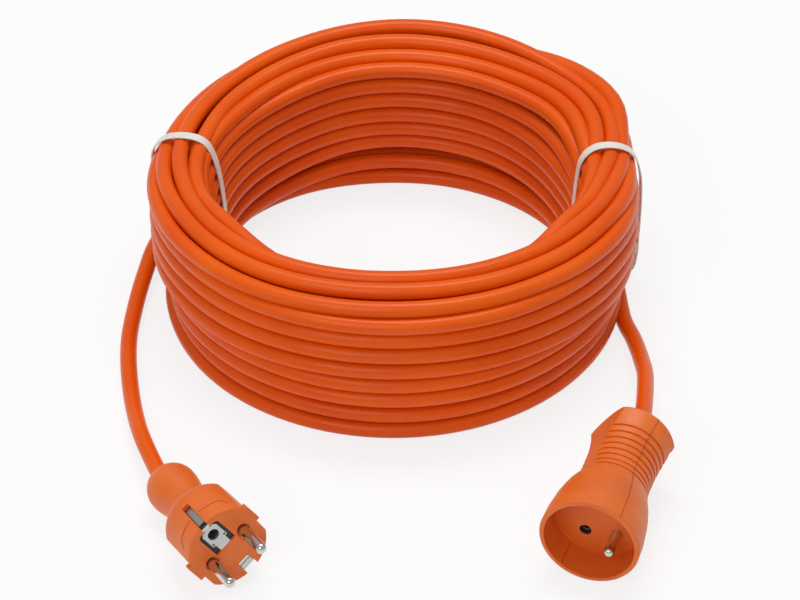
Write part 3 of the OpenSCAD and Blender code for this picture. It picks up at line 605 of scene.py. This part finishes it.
def clip_outline(half, low, high, corner=0.2):
    return [(-half, low), (half, low), (half, high - corner), (half - corner, high), (-half + corner, high),
            (-half, high - corner)]


def bar_outline(half, low, high):
    return [(-half, low), (half, low), (half, high), (-half, high)]


# one half of the raised field of the face, between the pins
FIELD_EDGE = [(5.9, 0.75), (6.2, -2.6), (7.2, -4.6), (6.4, -7.6), (4.2, -9.6)]
COLLAR = [(3.05, -0.98), (3.69, -0.98), (3.69, -0.02), (3.55, 0.06), (3.15, 0.06), (3.05, -0.1)]
ENTRY_SLEEVE = [(1.9, -16.9), (2.6, -16.9), (2.6, -15.35), (2.45, -15.2), (2.1, -15.6)]
SIDES = (("left", -PIN_X), ("right", PIN_X))

plug_trim = [
    # the insert's bridge over the upper clip, and the clip's edge where it turns into the plate
    plate("clip_bridge", clip_outline(1.95, 14.4, 16.05), -3.3, -0.75, 0.15, BLACK_NYLON),
    plate("clip_edge", clip_outline(2.0, 15.0, 15.85), -0.7, 0.12, 0.12, NICKEL),
    # the lower clip's edge in its mouth, and the insert's lip under it
    plate("mouth_edge", bar_outline(2.7, -10.85, -10.35), -0.7, 0.1, 0.1, NICKEL),
    plate("mouth_lip", bar_outline(2.7, -11.5, -10.87), -2.2, -0.35, 0.1, BLACK_NYLON),
    plate("face_field", [*FIELD_EDGE, *((-x, y) for x, y in reversed(FIELD_EDGE))], -0.2, 0.4, 0.35,
          PVC_HOUSING),
]
for side, x in SIDES:
    plug_trim.append(ring_piece(f"pin_collar_{side}", x, COLLAR, PLUG, PVC_HOUSING))


def surfaces(names, where):
    """Search trees of some nodes' surfaces, in a connector's own millimetres."""
    trees = []
    for name in names:
        work = bmesh.new()
        work.from_mesh(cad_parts[name].data)
        work.transform(where.inverted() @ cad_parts[name].matrix_world)
        trees.append(BVHTree.FromBMesh(work))
        work.free()
    return trees


def skin(trees, places, from_inside=False):
    """The surface's points at places of (angle round the connector's line, distance along it)."""
    found = []
    for degrees, z in places:
        turn = math.radians(degrees)
        way = Vector((math.cos(turn), math.sin(turn), 0))
        start, look = (UP * z, way) if from_inside else (way * BEYOND + UP * z, -way)
        hits = [hit for hit in (tree.ray_cast(start, look)[0] for tree in trees) if hit is not None]
        if hits:
            found.append(min(hits, key=lambda hit: (hit - start).length))
    return found


# edge of the thicker shell round the body, either side of the upper clip, drawn as a darker line of painted shade
SHELL_EDGES = {
    "right": [(43, -4.6), (44.5, -6.6), (47, -7.7), *((a, -7.9) for a in range(52, 83, 6))],
    "left": [*((a, -7.9) for a in range(98, 123, 6)), (128, -7.6), (132, -6.4), (134, -4.2)],
}
body = surfaces(["plug_body"], PLUG)
for side, edge in SHELL_EDGES.items():
    plug_trim.append(line_piece(f"shell_edge_{side}", skin(body, edge), 0.22, PLUG))


def seam_place(i):
    """A place every half millimetre on the socket's outside; the line wanders over the ribs."""
    z = -0.6 - 0.5 * i
    return 180 + 0.9 * math.sin(i * 1.1) * (1 if -62 < z < -30 else 0.15), z


# parting line of the socket's halves: down the outside, and on the recess's wall, drawn as darker lines of painted
# shade
shells = surfaces(["socket_shell_upper", "socket_shell_lower"], SOCKET)
line_piece("seam_outside", skin(shells, map(seam_place, range(156))), 0.2, SOCKET)
line_piece("seam_recess", skin(shells, ((0, -0.8 - i) for i in range(14)), True), 0.16, SOCKET)
for side, x in SIDES:
    ring_piece(f"entry_sleeve_{side}", x, ENTRY_SLEEVE, SOCKET, BLACK_NYLON)

plug_pieces = [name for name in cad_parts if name.startswith("plug_") and name != "plug_lead"]
plug_pieces += [piece.name for piece in plug_trim]


# ---------------------------------------------------------------- studio
def studio_material(name, colour, white):
    """A matt white sweep: white to the lens and in reflections, with a faint shadow."""
    made, tree = material(name)
    matt = add(tree, "ShaderNodeBsdfDiffuse", {"Color": linear(colour)})
    glow = add(tree, "ShaderNodeEmission", {"Strength": 1.0})
    path = add(tree, "ShaderNodeLightPath").outputs
    seen = add(tree, "ShaderNodeMath", {"operation": "MAXIMUM"}, {0: path["Is Camera Ray"], 1: path["Is Glossy Ray"]})
    clear = add(tree, "ShaderNodeMath", {"operation": "MAXIMUM"},
                {0: seen.outputs[0], 1: path["Is Transmission Ray"]})
    share = add(tree, "ShaderNodeMath", {"operation": "MULTIPLY", 1: white}, {0: clear.outputs[0]})
    mix = add(tree, "ShaderNodeMixShader", links={0: share.outputs[0], 1: matt.outputs[0], 2: glow.outputs[0]})
    add(tree, "ShaderNodeOutputMaterial", links={"Surface": mix.outputs[0]})
    return made


work = bmesh.new()
bmesh.ops.create_grid(work, x_segments=8, y_segments=8, size=4)
floor_mesh = bpy.data.meshes.new("floor")
work.to_mesh(floor_mesh)
work.free()
floor = bpy.data.objects.new("floor", floor_mesh)
bpy.context.collection.objects.link(floor)
floor_mesh.materials.append(studio_material("floor_white_paint", "#F2F2F2", 0.8))

world = bpy.data.worlds.new("studio")
bpy.context.scene.world = world
world.use_nodes = True
sky = world.node_tree
sky.nodes.clear()
path = add(sky, "ShaderNodeLightPath").outputs
seen = add(sky, "ShaderNodeMath", {"operation": "MAXIMUM"}, {0: path["Is Camera Ray"], 1: path["Is Transmission Ray"]})
soft = add(sky, "ShaderNodeBackground", {"Color": linear("#FFFFFF"), "Strength": 0.45})
white = add(sky, "ShaderNodeBackground", {"Color": linear("#FFFFFF"), "Strength": 1.0})
both = add(sky, "ShaderNodeMixShader", links={0: seen.outputs[0], 1: soft.outputs[0], 2: white.outputs[0]})
add(sky, "ShaderNodeOutputWorld", links={"Surface": both.outputs[0]})


def softbox(name, at, towards, size, watts):
    lamp = bpy.data.lights.new(name, "AREA")
    lamp.shape = "RECTANGLE"
    lamp.size, lamp.size_y = size
    lamp.energy = watts
    made = bpy.data.objects.new(name, lamp)
    made.location = at
    made.rotation_euler = (Vector(towards) - Vector(at)).to_track_quat("-Z", "Y").to_euler()
    bpy.context.collection.objects.link(made)


softbox("overhead_box", (0.02, 0.3, 1.6), (0, -0.02, 0), (1.1, 0.42), 13)
softbox("front_box", (-0.6, -1.4, 1.2), (0, -0.1, 0.03), (1.0, 0.8), 8)

bpy.context.scene.view_settings.view_transform = "Standard"
